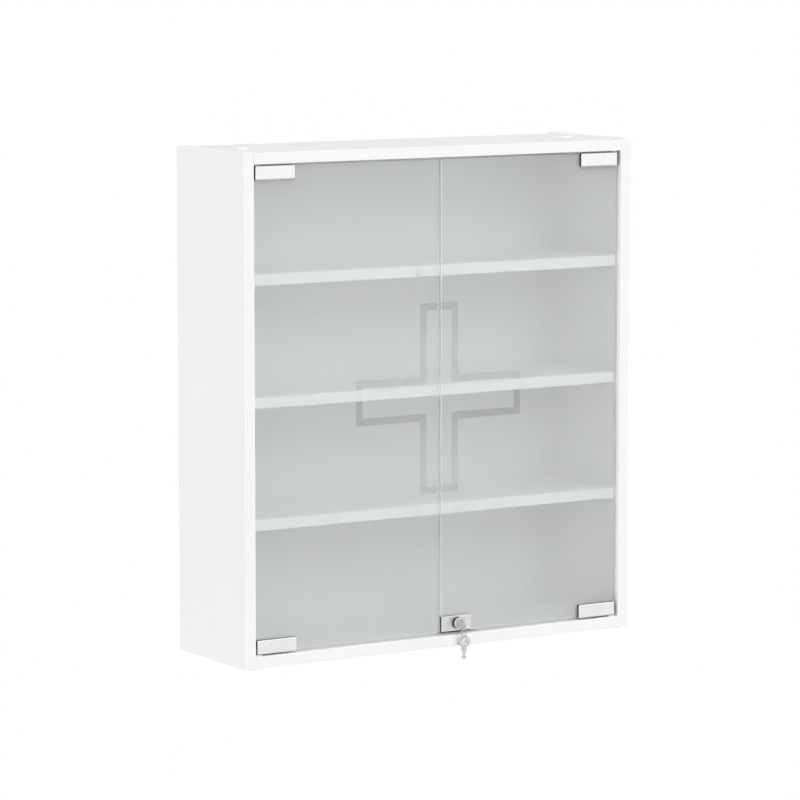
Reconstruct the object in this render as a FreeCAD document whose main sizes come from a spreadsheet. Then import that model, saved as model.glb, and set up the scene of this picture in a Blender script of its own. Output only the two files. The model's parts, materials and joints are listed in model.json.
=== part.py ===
import FreeCAD, Part
import math
import os
import re
import Sketcher

# A white wall cabinet with two satin glass doors, three shelves, clamp hinges and a lock.
# Millimetres. X runs to the right, Y towards the wall and Z up. The origin lies on the wall, in the
# middle of the hanging rail, halfway between its two wall screws.

doc = FreeCAD.newDocument("glass_door_cabinet")
vec = FreeCAD.Vector

SIZES = [
    # Carcass
    ("cabinet_width", 610, "over both sides"),
    ("cabinet_height", 680, "length of a side panel"),
    ("cabinet_depth", 180, "from the wall to the front edges"),
    ("board_thickness", 15, "side, top and bottom panels"),
    ("end_step", 1.5, "the sides reach this far past the top and bottom panels"),
    ("edge_round", 0.8, "radius along the boards' edges"),
    ("back_thickness", 3, "back panel"),
    ("groove_depth", 5, "groove that holds the back panel"),
    ("groove_clearance", 0.2, "between the back panel and its groove"),
    ("rail_height", 80, "hanging rail behind the back panel"),
    ("rail_thickness", 15, "hanging rail"),
    ("wall_hole_spacing", 448, "between the wall screws"),
    ("wall_hole_diameter", 6, "wall screw holes"),
    # Fittings between the boards
    ("dowel_diameter", 8, "wooden dowels"),
    ("dowel_in_panel", 20, "dowel length inside a panel's end"),
    ("dowel_cheek", 5, "board left outside a dowel"),
    ("dowel_inset", 40, "dowels from the front edge and the wall"),
    ("rail_dowel_inset", 20, "dowels from the rail's edges"),
    ("drill_clearance", 0.1, "round dowels, bolts, pins and screws"),
    ("cam_diameter", 15, "cam nuts"),
    ("cam_cheek", 3, "board left behind a cam nut"),
    ("cam_from_end", 32, "cam nuts from the panel's end"),
    ("cam_slot", 2, "width and depth of the cross slot in a cam nut"),
    ("cam_slot_length", 8, "length of the cross slot"),
    ("cam_mouth", 8, "opening in a cam nut for its bolt"),
    ("bolt_diameter", 5, "cam bolts"),
    ("cam_cover_diameter", 17, "covers of the cam nuts"),
    ("screw_cover_diameter", 12, "covers of the rail screws"),
    ("cover_thickness", 1.5, "height of a cover"),
    ("cover_round", 0.7, "radius round a cover's top"),
    ("rail_screw_spacing", 374, "between the rail screws"),
    ("rail_screw_diameter", 4, "rail screw's shank"),
    ("rail_screw_head", 8, "diameter of the head"),
    ("rail_screw_head_height", 3, "height of the head"),
    ("rail_screw_in_rail", 25, "length inside the rail"),
    # Shelves
    ("shelf_thickness", 15, "shelves"),
    ("lower_shelf_height", 188.6, "middle of the lower shelf above the sides' lower ends"),
    ("shelf_spacing", 161.5, "from one shelf to the next"),
    ("shelf_setback", 3.5, "shelf fronts behind the panes"),
    ("shelf_clearance", 0.5, "shelf ends and back to the walls"),
    ("shelf_pin_diameter", 5, "shelf pins"),
    ("shelf_pin_cheek", 6, "side panel left outside a pin"),
    ("shelf_pin_inset", 25, "pins from the shelf's front and back"),
    ("pin_seat_length", 9, "flat seat under the shelf"),
    ("pin_seat_width", 8, "flat seat, front to back"),
    ("pin_seat_thickness", 2, "flat seat"),
    # Panes
    ("glass_setback", 7, "panes behind the front edges"),
    ("glass_thickness", 4, "panes"),
    ("pane_side_gap", 3, "pane to side panel"),
    ("pane_middle_gap", 4, "pane to pane"),
    ("pane_end_gap", 3.5, "pane to top and bottom panel"),
    ("glass_corner", 1.5, "radius of a pane's corners"),
    ("glass_arris", 0.4, "ground edges of a pane"),
    ("etch_depth", 0.2, "etched away from the inner face round the cross line"),
    ("cross_span", 261, "cross from side to side"),
    ("cross_height", 257, "cross from top to bottom"),
    ("cross_arm", 60, "width of an arm"),
    ("cross_line", 9.8, "width of the clear line"),
    ("bumper_diameter", 8, "milky bumpers on the shelf fronts"),
    ("bumper_round", 1, "radius round a bumper's face"),
    ("bumper_clearance", 0.3, "bumper to closed pane"),
    ("bumper_from_middle", 30, "bumpers from the gap between the panes"),
    # Hinges
    ("clamp_length", 60, "hinge clamp along the pane's end"),
    ("clamp_height", 19, "hinge clamp"),
    ("clamp_lip", 1.5, "clamp reaches this far past the pane's end"),
    ("clamp_from_side", 4, "clamp to side panel"),
    ("cap_wall", 1.5, "bright cap"),
    ("cap_round", 1.8, "radius round the cap's front"),
    ("cap_fit", 0.2, "cap to clamp leg"),
    ("front_leg", 1.8, "clamp leg in front of the pane"),
    ("rear_leg", 4, "clamp leg behind the pane"),
    ("hinge_pad", 0.5, "pads between clamp and pane"),
    ("press_plate", 1.5, "plate pressed by the grub screws"),
    ("press_gap", 0.3, "press plate to rear leg"),
    ("web_clearance", 0.2, "pane's end to the clamp's web"),
    ("grub_diameter", 4, "grub screws"),
    ("grub_spacing", 30, "between the grub screws"),
    ("grub_socket", 2, "across the corners of the socket"),
    ("grub_socket_depth", 2, "depth of the socket"),
    ("pivot_diameter", 4, "pivot pins"),
    ("pivot_from_side", 7.8, "pivot axis to side panel"),
    ("pivot_clearance", 0.05, "running clearance round a pivot"),
    ("pivot_end_gap", 1, "pivot's tip to the end of its bore"),
    ("bush_wall", 1.5, "pivot bushes"),
    ("bush_flange", 2, "flange round a bush"),
    ("bush_cheek", 4, "board left beyond a bush"),
    ("running_gap", 0.3, "bush flange to clamp"),
    # Lock
    ("lock_plate_length", 48, "front plate"),
    ("lock_plate_height", 21, "front plate"),
    ("lock_plate_thickness", 2, "front plate and back plate"),
    ("lock_plate_round", 0.6, "radius round the plate's front"),
    ("lock_plate_from_middle", 0.7, "plate's edge to the middle of the cabinet"),
    ("lock_plate_rise", 1, "plate above the pane's lower end"),
    ("lock_lip_clearance", 0.2, "plate's lip to the pane's edge"),
    ("lock_off_centre", 3, "lock axis beside the plate's middle"),
    ("lock_gasket", 0.5, "gaskets between plates and pane"),
    ("gasket_drop", 1.6, "gaskets past the plates' lower edges"),
    ("gasket_inset", 0.8, "gaskets short of the plates' upper edges"),
    ("barrel_diameter", 14, "barrel through the pane"),
    ("barrel_clearance", 0.1, "round the barrel"),
    ("glass_hole_clearance", 1, "barrel to pane"),
    ("barrel_tail", 1, "barrel past its nut"),
    ("head_diameter", 16, "round head of the barrel"),
    ("head_length", 4, "head in front of the plate"),
    ("head_round", 1.6, "radius round the head's front"),
    ("nut_width", 21, "nut across its corners"),
    ("nut_thickness", 4, "nut"),
    ("plug_diameter", 11, "turning plug"),
    ("plug_clearance", 0.05, "running clearance round the plug"),
    ("plug_square", 6, "square tail that carries the cam"),
    ("cam_gap", 0.3, "lock cam to barrel"),
    ("lock_cam_reach", 23, "lock axis to the cam's tip"),
    ("lock_cam_width", 10, "lock cam"),
    ("lock_cam_thickness", 2, "lock cam"),
    ("cam_screw_diameter", 3, "screw that holds the cam"),
    ("cam_screw_head", 9, "its head"),
    ("cam_screw_head_height", 2, "its head"),
    ("cam_screw_length", 3, "its shank"),
    # Strike
    ("strike_thickness", 1.5, "strike plate"),
    ("strike_margin", 13, "plate past the slot's ends"),
    ("strike_width", 16, "plate, front to back"),
    ("strike_clearance", 1.3, "slot round the cam"),
    ("strike_fit", 0.1, "plate in its recess"),
    ("strike_screw_diameter", 3, "strike screws"),
    ("strike_screw_head", 5.5, "head, flush with the plate"),
    ("strike_screw_length", 9, "strike screws"),
    # Keys
    ("key_length", 32, "over all"),
    ("key_thickness", 2, "flat key"),
    ("key_clearance", 0.15, "key in its slot"),
    ("bow_radius", 7.6, "rounded ends of the bow"),
    ("bow_spread", 1.3, "centres of the bow's ends from the middle"),
    ("bow_hole_diameter", 5, "ring hole"),
    ("bow_hole_inset", 4.2, "ring hole's centre to the bow's end"),
    ("bow_gap", 0.3, "bow to plug"),
    ("blade_root", 7, "blade beside the bow"),
    ("blade_step", 17.6, "ring hole's centre to the step in the blade"),
    ("blade_width", 6.2, "blade above its step"),
    ("blade_neck", 3.8, "blade below its step"),
    ("blade_tip_diameter", 6, "round tip"),
    ("ring_diameter", 17, "key ring, middle of the wire"),
    ("ring_wire", 1.4, "key ring"),
    ("ring_clearance", 0.6, "wire to the edge of a key's hole"),
    ("ring_turn", 37, "degrees that the ring is turned from the cabinet's front"),
]

PLACES = [
    ("half_width", "cabinet_width / 2"),
    ("inner_half", "half_width - board_thickness"),
    ("front_y", "-cabinet_depth"),
    ("ceiling_z", "rail_height / 2"),
    ("top_z", "ceiling_z + board_thickness + end_step"),
    ("base_z", "top_z - cabinet_height"),
    ("floor_z", "base_z + end_step + board_thickness"),
    ("back_rear_y", "-rail_thickness"),
    ("back_front_y", "back_rear_y - back_thickness"),
    ("dowel_in_side", "board_thickness - dowel_cheek"),
    ("cam_height", "board_thickness - cam_cheek"),
    ("cam_x", "inner_half - cam_from_end"),
    ("cam_y", "front_y / 2"),
    ("rail_y", "-rail_thickness / 2"),
    ("pane_front_y", "front_y + glass_setback"),
    ("pane_back_y", "pane_front_y + glass_thickness"),
    ("etched_y", "pane_back_y - etch_depth"),
    ("pane_outer", "inner_half - pane_side_gap"),
    ("pane_inner", "pane_middle_gap / 2"),
    ("pane_low_z", "floor_z + pane_end_gap"),
    ("pane_high_z", "ceiling_z - pane_end_gap"),
    ("cross_z", "(pane_low_z + pane_high_z) / 2"),
    ("shelf_front_y", "pane_back_y + shelf_setback"),
    ("shelf_back_y", "back_front_y - shelf_clearance"),
    ("shelf_half", "inner_half - shelf_clearance"),
    ("lower_shelf_z", "base_z + lower_shelf_height - shelf_thickness / 2"),
    ("pivot_x", "inner_half - pivot_from_side"),
    ("pivot_y", "pane_front_y + glass_thickness / 2"),
    ("pivot_depth", "board_thickness - bush_cheek - pivot_end_gap"),
    ("bush_radius", "pivot_diameter / 2 + pivot_clearance + bush_wall"),
    ("cap_depth", "hinge_pad + front_leg + cap_fit + cap_wall"),
    ("clamp_outer", "inner_half - clamp_from_side"),
    ("clamp_inner", "clamp_outer - clamp_length"),
    ("leg_outer", "clamp_outer - cap_wall - cap_fit"),
    ("leg_inner", "clamp_inner + cap_wall + cap_fit"),
    ("clamp_reach", "clamp_height - clamp_lip"),
    ("leg_reach", "clamp_reach - cap_wall - cap_fit"),
    ("leg_front_y", "pane_front_y - hinge_pad - front_leg"),
    ("press_y", "etched_y + hinge_pad"),
    ("press_back_y", "press_y + press_plate"),
    ("rear_leg_y", "press_back_y + press_gap"),
    ("clamp_back_y", "rear_leg_y + rear_leg"),
    ("clamp_middle", "(clamp_inner + clamp_outer) / 2"),
    ("lock_plate_left", "lock_plate_from_middle"),
    ("lock_plate_right", "lock_plate_left + lock_plate_length"),
    ("lock_plate_low", "pane_low_z + lock_plate_rise"),
    ("lock_plate_high", "lock_plate_low + lock_plate_height"),
    ("lock_x", "(lock_plate_left + lock_plate_right) / 2 + lock_off_centre"),
    ("lock_z", "(lock_plate_low + lock_plate_high) / 2"),
    ("lock_plate_back_y", "pane_front_y - lock_gasket"),
    ("lock_plate_front_y", "lock_plate_back_y - lock_plate_thickness"),
    ("face_y", "lock_plate_front_y - head_length"),
    ("back_plate_y", "etched_y + lock_gasket"),
    ("nut_y", "back_plate_y + lock_plate_thickness"),
    ("barrel_end_y", "nut_y + nut_thickness + barrel_tail"),
    ("lock_cam_y", "barrel_end_y + cam_gap"),
    ("lock_cam_back_y", "lock_cam_y + lock_cam_thickness"),
    ("strike_left", "lock_x - lock_cam_width / 2 - strike_clearance"),
    ("strike_right", "lock_x + lock_cam_reach + strike_clearance"),
    ("strike_y", "(lock_cam_y + lock_cam_back_y) / 2"),
    ("strike_z", "floor_z - strike_thickness"),
    ("slot_z", "lock_z - lock_cam_reach - strike_clearance"),
    ("bow_drop", "bow_radius - bow_hole_inset"),
    ("bow_end", "bow_drop + bow_radius"),
    ("blade_tip", "key_length - bow_hole_inset - blade_tip_diameter / 2"),
    ("key_y", "face_y - bow_gap - bow_end"),
    ("ring_drop", "bow_hole_diameter / 2 - ring_wire / 2 - ring_clearance"),
    ("ring_z", "lock_z - ring_drop - ring_diameter / 2"),
    ("spare_z", "ring_z - ring_diameter / 2 - ring_drop"),
]


def make_sheet(name, rows):
    """A sheet with one named value a row."""
    sheet = doc.addObject("Spreadsheet::Sheet", name)
    for row, (alias, content) in enumerate(rows, 1):
        sheet.set(f"A{row}", alias)
        sheet.set(f"B{row}", content)
        sheet.setAlias(f"B{row}", alias)
    doc.recompute()
    return sheet


sheet_of = {alias: "Sizes" for alias, value, note in SIZES}
sheet_of.update({alias: "Places" for alias, formula in PLACES})


def expression(words):
    """A formula with each name led by the sheet that holds it."""
    return re.sub(r"[a-z][a-z_]*", lambda found: lead(found.group()), str(words))


def lead(word):
    return f"{sheet_of[word]}.{word}" if word in sheet_of else word


sizes = make_sheet("Sizes", [(alias, str(value)) for alias, value, note in SIZES])
places = make_sheet("Places", [(alias, "=" + expression(formula)) for alias, formula in PLACES])
for row, (alias, value, note) in enumerate(SIZES, 1):
    sizes.set(f"C{row}", note)


def number(words):
    """The present value of a formula."""
    return float(places.evalExpression(expression(words)))


# Building blocks: boxes, rods, cuts and groups whose sizes follow the sheets

NODES = []
LIES_ALONG = {
    "x": FreeCAD.Rotation(vec(0, 1, 0), 90),
    "y": FreeCAD.Rotation(vec(1, 0, 0), -90),
    "z": FreeCAD.Rotation(),
}


def node(name, piece):
    """Names a finished sub-part."""
    piece.Label = name
    NODES.append(piece)
    return piece


def slab(name, x, y, z):
    """A box from the low to the high place along each axis."""
    box = doc.addObject("Part::Box", name)
    for axis, side, (low, high) in zip("xyz", ("Length", "Width", "Height"), (x, y, z)):
        box.setExpression(side, expression(f"({high}) - ({low})"))
        box.setExpression(f"Placement.Base.{axis}", expression(low))
    return box


def rod(name, radius, x, y, z):
    """A cylinder along the axis whose place is a pair."""
    cylinder = doc.addObject("Part::Cylinder", name)
    cylinder.setExpression("Radius", expression(radius))
    lay(cylinder, x, y, z)
    return cylinder


def hexagon(name, radius, x, y, z):
    """A six-sided rod along the axis whose place is a pair."""
    prism = doc.addObject("Part::Prism", name)
    prism.Polygon = 6
    prism.setExpression("Circumradius", expression(radius))
    lay(prism, x, y, z)
    return prism


def lay(piece, x, y, z):
    for axis, place in zip("xyz", (x, y, z)):
        if isinstance(place, tuple):
            low, high = place
            piece.Placement = FreeCAD.Placement(vec(), LIES_ALONG[axis])
            piece.setExpression("Height", expression(f"({high}) - ({low})"))
            place = low
        piece.setExpression(f"Placement.Base.{axis}", expression(place))


def fused(name, pieces):
    """One solid of pieces that overlap."""
    whole = doc.addObject("Part::MultiFuse", name)
    whole.Shapes = pieces
    return whole


def group(name, pieces):
    """Separate solids kept together."""
    compound = doc.addObject("Part::Compound", name)
    compound.Links = pieces
    return compound


def cut(name, base, tools):
    """Base without the tools."""
    remainder = doc.addObject("Part::Cut", name)
    remainder.Base = base
    remainder.Tool = tools[0] if len(tools) == 1 else group(name + "_tools", tools)
    return remainder


def rounded(name, base, radius, wanted):
    """Base with its wanted edges rounded."""
    doc.recompute()
    size = number(radius)
    fillet = doc.addObject("Part::Fillet", name)
    fillet.Base = base
    fillet.Edges = [(i, size, size) for i, edge in enumerate(base.Shape.Edges, 1) if wanted(edge)]
    return fillet


NEAR = 0.01


def every_edge(edge):
    return True


def runs_along(axis):
    """A test for straight edges along an axis."""
    def test(edge):
        way = edge.lastVertex().Point - edge.firstVertex().Point
        return not edge.isClosed() and abs(way.dot(axis)) > way.Length - NEAR
    return test


def in_plane(axis, level):
    """A test for edges that lie wholly at a level."""
    here = number(level)

    def test(edge):
        low = getattr(edge.BoundBox, f"{axis}Min")
        high = getattr(edge.BoundBox, f"{axis}Max")
        return here - NEAR < low and high < here + NEAR
    return test


# Sketched bodies

def sketch(body, name, y):
    """A sketch that faces the front, on the body's own upright plane moved to a place along Y."""
    upright = next(feature for feature in body.Origin.OriginFeatures if feature.Role == "XZ_Plane")
    drawing = body.newObject("Sketcher::SketchObject", name)
    drawing.AttachmentSupport = (upright, [""])
    drawing.MapMode = "FlatFace"
    drawing.setExpression("AttachmentOffset.Base.z", expression(f"-({y})"))
    return drawing


def hold(drawing, kind, items, words):
    """Adds a measured constraint and binds it to a formula."""
    index = drawing.addConstraint(Sketcher.Constraint(kind, *items, number(words)))
    drawing.setExpression(f"Constraints[{index}]", expression(words))


def hold_point(drawing, geometry, point, across, up):
    hold(drawing, "DistanceX", (-1, 1, geometry, point), across)
    hold(drawing, "DistanceY", (-1, 1, geometry, point), up)


def polygon(drawing, points):
    """A closed outline, each corner held by its distances from the sketch's origin."""
    first = drawing.GeometryCount
    corners = [vec(number(across), number(up), 0) for across, up in points]
    for start, end in zip(corners, corners[1:] + corners[:1]):
        drawing.addGeometry(Part.LineSegment(start, end))
    for i, (across, up) in enumerate(points):
        following = first + (i + 1) % len(points)
        drawing.addConstraint(Sketcher.Constraint("Coincident", first + i, 2, following, 1))
        hold_point(drawing, first + i, 1, across, up)


def rectangle(drawing, across, up):
    (left, right), (low, high) = across, up
    polygon(drawing, [(left, low), (right, low), (right, high), (left, high)])


def circle(drawing, across, up, radius):
    centre = vec(number(across), number(up), 0)
    index = drawing.addGeometry(Part.Circle(centre, vec(0, 0, 1), number(radius)))
    hold_point(drawing, index, 3, across, up)
    hold(drawing, "Radius", (index,), radius)


def oblong(drawing, left, right, up, radius):
    """Two half circles side by side, joined by straight lines."""
    first = drawing.GeometryCount
    quarter = math.pi / 2
    size = number(radius)
    ends = [vec(number(across), number(up), 0) for across in (left, right)]
    rise = vec(0, size, 0)
    left_circle, right_circle = [Part.Circle(end, vec(0, 0, 1), size) for end in ends]
    drawing.addGeometry(Part.ArcOfCircle(left_circle, quarter, 3 * quarter))
    drawing.addGeometry(Part.LineSegment(ends[0] - rise, ends[1] - rise))
    drawing.addGeometry(Part.ArcOfCircle(right_circle, 3 * quarter, 5 * quarter))
    drawing.addGeometry(Part.LineSegment(ends[1] + rise, ends[0] + rise))
    for i in range(4):
        drawing.addConstraint(Sketcher.Constraint("Tangent", first + i, 2, first + (i + 1) % 4, 1))
    hold_point(drawing, first, 3, left, up)
    hold_point(drawing, first + 2, 3, right, up)
    hold(drawing, "Radius", (first,), radius)
    drawing.addConstraint(Sketcher.Constraint("Equal", first, first + 2))


def pad(body, name, drawing, length, towards_wall=False):
    """Thickens a sketch to the front, or towards the wall."""
    feature = body.newObject("PartDesign::Pad", name)
    feature.Profile = drawing
    feature.setExpression("Length", expression(length))
    feature.Reversed = towards_wall
    return feature


def pocket(body, name, drawing, depth):
    """Cuts a sketch's outline forward into the body."""
    doc.recompute()
    before = body.Shape.Volume
    feature = body.newObject("PartDesign::Pocket", name)
    feature.Profile = drawing
    feature.setExpression("Length", expression(depth))
    feature.Reversed = True
    doc.recompute()
    if body.Shape.Volume > before - 0.001:
        raise ValueError(f"{body.Name}: {name} cuts nothing")
    return feature


def soften(body, name, base, radius, wanted):
    """Rounds the wanted edges of a body's feature."""
    feature = dress(body, name, base, wanted, "PartDesign::Fillet")
    feature.setExpression("Radius", expression(radius))
    return feature


def bevel(body, name, base, size, wanted):
    """Grinds the wanted edges of a body's feature to a slope."""
    feature = dress(body, name, base, wanted, "PartDesign::Chamfer")
    feature.setExpression("Size", expression(size))
    return feature


def dress(body, name, base, wanted, kind):
    doc.recompute()
    feature = body.newObject(kind, name)
    feature.Base = (base, [f"Edge{i}" for i, edge in enumerate(base.Shape.Edges, 1) if wanted(edge)])
    return feature


# Both sides of the cabinet share their formulas: side is -1 on the left and 1 on the right

SIDE_NAMES = {-1: "left", 1: "right"}


def to_side(side, words):
    return words if side > 0 else f"-({words})"


def between(side, near, far):
    """Low and high place of what lies from near to far from the middle."""
    return (near, far) if side > 0 else (f"-({far})", f"-({near})")


def around(centre, size):
    """Low and high place of what lies evenly about a centre."""
    return f"{centre} - ({size}) / 2", f"{centre} + ({size}) / 2"


# Fittings between the boards. One drill cuts the hole in every board that a fitting passes through.

side_drills = {-1: [], 1: []}
panel_drills = {"top": [], "bottom": []}
rail_drills = []
dowels = []
cam_nuts = []
cam_bolts = []
cam_covers = []
PANEL_MIDDLE = {"top": "ceiling_z + board_thickness / 2", "bottom": "floor_z - board_thickness / 2"}
PANEL_OUTSIDE = {"top": "ceiling_z + board_thickness", "bottom": "floor_z - board_thickness"}
OUTWARD = {"top": 1, "bottom": -1}


def outward(panel, start, low, high):
    """Low and high place of what lies from low to high outside a panel's start level."""
    if OUTWARD[panel] > 0:
        return f"{start} + {low}", f"{start} + {high}"
    return f"{start} - ({high})", f"{start} - ({low})"


def add_dowel(name, side, y, z, panel_side_drills):
    x = between(side, "inner_half - dowel_in_panel", "inner_half + dowel_in_side")
    drill = rod(name + "_drill", "dowel_diameter / 2 + drill_clearance", x, y, z)
    side_drills[side].append(drill)
    panel_side_drills.append(drill)
    dowels.append(rod(name, "dowel_diameter / 2", x, y, z))


def add_cam(name, side, panel):
    """A cam nut let into the panel's outer face, its bolt from the side panel, and its cover."""
    middle = PANEL_MIDDLE[panel]
    outside = PANEL_OUTSIDE[panel]
    at = to_side(side, "cam_x")
    depth = outward(panel, outside, "-cam_height", "0")
    panel_drills[panel].append(rod(name + "_seat", "cam_diameter / 2 + drill_clearance", at, "cam_y", depth))
    channel = between(side, "cam_x", "inner_half + dowel_in_side")
    drill = rod(name + "_channel", "bolt_diameter / 2 + drill_clearance", channel, "cam_y", middle)
    side_drills[side].append(drill)
    panel_drills[panel].append(drill)
    cam_bolts.append(rod(name + "_bolt", "bolt_diameter / 2", channel, "cam_y", middle))
    mouth = between(side, "cam_x", "cam_x + cam_diameter")
    room = outward(panel, middle, "-cam_mouth / 2", "cam_mouth / 2")
    slot_depth = outward(panel, outside, "-cam_slot", "0")
    tools = [
        rod(name + "_mouth", "cam_mouth / 2", mouth, "cam_y", middle),
        rod(name + "_room", "cam_mouth / 2", at, "cam_y", room),
        slab(name + "_slot_across", around(at, "cam_slot_length"), around("cam_y", "cam_slot"), slot_depth),
        slab(name + "_slot_along", around(at, "cam_slot"), around("cam_y", "cam_slot_length"), slot_depth),
    ]
    cam_nuts.append(cut(name, rod(name + "_round", "cam_diameter / 2", at, "cam_y", depth), tools))
    cam_covers.append(add_cover(name + "_cover", "cam_cover_diameter", at, "cam_y", panel))


def add_cover(name, diameter, x, y, panel):
    """A low disc with a soft rim that hides a fitting."""
    height = outward(panel, PANEL_OUTSIDE[panel], "0", "cover_thickness")
    disc = rod(name + "_disc", f"{diameter} / 2", x, y, height)
    rim = f"{PANEL_OUTSIDE[panel]} + {OUTWARD[panel]} * cover_thickness"
    return rounded(name, disc, "cover_round", in_plane("Z", rim))


for side, side_name in SIDE_NAMES.items():
    for panel, middle in PANEL_MIDDLE.items():
        for place, y in (("front", "front_y + dowel_inset"), ("rear", "-dowel_inset")):
            add_dowel(f"dowel_{panel}_{side_name}_{place}", side, y, middle, panel_drills[panel])
        add_cam(f"cam_{panel}_{side_name}", side, panel)
    for place, z in zip(("lower", "upper"), around("0", "rail_height - 2 * rail_dowel_inset")):
        add_dowel(f"dowel_rail_{side_name}_{place}", side, "rail_y", z, rail_drills)

# Screws from the top panel into the hanging rail, under covers of their own

rail_screws = []
screw_covers = []
for side, side_name in SIDE_NAMES.items():
    x = to_side(side, "rail_screw_spacing / 2")
    panel_top = PANEL_OUTSIDE["top"]
    head_level = f"{panel_top} - rail_screw_head_height"
    shank = ("ceiling_z - rail_screw_in_rail", head_level)
    head = (head_level, panel_top)
    name = f"rail_screw_{side_name}"
    drill = rod(name + "_drill", "rail_screw_diameter / 2 + drill_clearance", x, "rail_y", shank)
    head_drill = rod(name + "_head_drill", "rail_screw_head / 2 + drill_clearance", x, "rail_y", head)
    panel_drills["top"] += [drill, head_drill]
    rail_drills.append(drill)
    shank_rod = rod(name + "_shank", "rail_screw_diameter / 2", x, "rail_y", shank)
    head_rod = rod(name + "_head", "rail_screw_head / 2", x, "rail_y", head)
    rail_screws.append(fused(name, [shank_rod, head_rod]))
    screw_covers.append(add_cover(name + "_cover", "screw_cover_diameter", x, "rail_y", "top"))

# Pivot bushes in the top and bottom panels

PANE_END = {"top": "pane_high_z", "bottom": "pane_low_z"}
PANEL_INSIDE = {"top": "ceiling_z", "bottom": "floor_z"}
bushes = []
for side, side_name in SIDE_NAMES.items():
    for panel, inside in PANEL_INSIDE.items():
        x = to_side(side, "pivot_x")
        name = f"bush_{panel}_{side_name}"
        sleeve = outward(panel, inside, "0", "board_thickness - bush_cheek")
        flange = outward(panel, inside, "-(pane_end_gap - clamp_lip - running_gap)", "0")
        bore = outward(panel, inside, "-pane_end_gap", "board_thickness - bush_cheek")
        drill = rod(name + "_drill", "bush_radius + drill_clearance", x, "pivot_y", sleeve)
        panel_drills[panel].append(drill)
        sleeve_rod = rod(name + "_sleeve", "bush_radius", x, "pivot_y", sleeve)
        flange_rod = rod(name + "_flange", "bush_radius + bush_flange", x, "pivot_y", flange)
        bore_rod = rod(name + "_bore", "pivot_diameter / 2 + pivot_clearance", x, "pivot_y", bore)
        bushes.append(cut(name, fused(name + "_outside", [sleeve_rod, flange_rod]), [bore_rod]))

# Strike plate in the bottom panel, with its slot for the lock cam

slot_x = ("strike_left", "strike_right")
slot_y = ("lock_cam_y - strike_clearance", "lock_cam_back_y + strike_clearance")
cam_slot = slab("strike_slot", slot_x, slot_y, ("slot_z", "floor_z"))
plate_x = ("strike_left - strike_margin", "strike_right + strike_margin")
plate_y = around("strike_y", "strike_width")
recess_x = (f"{plate_x[0]} - strike_fit", f"{plate_x[1]} + strike_fit")
recess_y = (f"{plate_y[0]} - strike_fit", f"{plate_y[1]} + strike_fit")
panel_drills["bottom"] += [cam_slot, slab("strike_recess", recess_x, recess_y, ("strike_z", "floor_z"))]
strike_tools = [cam_slot]
strike_screws = []
for place, x in (("left", "strike_left - strike_margin / 2"), ("right", "strike_right + strike_margin / 2")):
    name = f"strike_screw_{place}"
    shank = ("floor_z - strike_screw_length", "strike_z")
    head = ("strike_z", "floor_z")
    drill = rod(name + "_drill", "strike_screw_diameter / 2 + drill_clearance", x, "strike_y", shank)
    head_drill = rod(name + "_head_drill", "strike_screw_head / 2 + drill_clearance", x, "strike_y", head)
    panel_drills["bottom"].append(drill)
    strike_tools.append(head_drill)
    shank_rod = rod(name + "_shank", "strike_screw_diameter / 2", x, "strike_y", shank)
    head_rod = rod(name + "_head", "strike_screw_head / 2", x, "strike_y", head)
    strike_screws.append(fused(name, [shank_rod, head_rod]))
strike_sheet = slab("strike_sheet", plate_x, plate_y, ("strike_z", "floor_z"))

# Shelves, with four pins each

SHELVES = {"lower": 0, "middle": 1, "upper": 2}
PIN_PLACES = {"front": "shelf_front_y + shelf_pin_inset", "rear": "shelf_back_y - shelf_pin_inset"}
shelf_pins = []
shelves = {}
for name, step in SHELVES.items():
    underside = f"lower_shelf_z + {step} * shelf_spacing"
    height = (underside, f"{underside} + shelf_thickness")
    box = slab(f"{name}_shelf_box", ("-shelf_half", "shelf_half"), ("shelf_front_y", "shelf_back_y"), height)
    shelves[name] = rounded(f"{name}_shelf", box, "edge_round", runs_along(vec(1, 0, 0)))
    for side, side_name in SIDE_NAMES.items():
        for place, y in PIN_PLACES.items():
            pin = f"{name}_pin_{side_name}_{place}"
            level = f"{underside} - shelf_pin_diameter / 2"
            drill_x = between(side, "inner_half", "half_width - shelf_pin_cheek")
            seat_x = between(side, "inner_half - pin_seat_length", "inner_half")
            peg_x = between(side, "inner_half - pin_seat_length / 2", "half_width - shelf_pin_cheek")
            drill = rod(pin + "_drill", "shelf_pin_diameter / 2 + drill_clearance", drill_x, y, level)
            side_drills[side].append(drill)
            seat_z = (f"{underside} - pin_seat_thickness", underside)
            seat = slab(pin + "_seat", seat_x, around(y, "pin_seat_width"), seat_z)
            peg = rod(pin + "_peg", "shelf_pin_diameter / 2", peg_x, y, level)
            shelf_pins.append(fused(pin, [seat, peg]))

# Clear bumpers on the upper and lower shelf

bumpers = []
for name in ("lower", "upper"):
    level = f"lower_shelf_z + {SHELVES[name]} * shelf_spacing + shelf_thickness / 2"
    for side, side_name in SIDE_NAMES.items():
        bumper = f"bumper_{name}_{side_name}"
        tip = "etched_y + bumper_clearance"
        x = to_side(side, "bumper_from_middle")
        dot = rod(bumper + "_dot", "bumper_diameter / 2", x, (tip, "shelf_front_y"), level)
        bumpers.append(rounded(bumper, dot, "bumper_round", in_plane("Y", tip)))

# Boards. The back panel sits in a groove that runs round all four.

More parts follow.
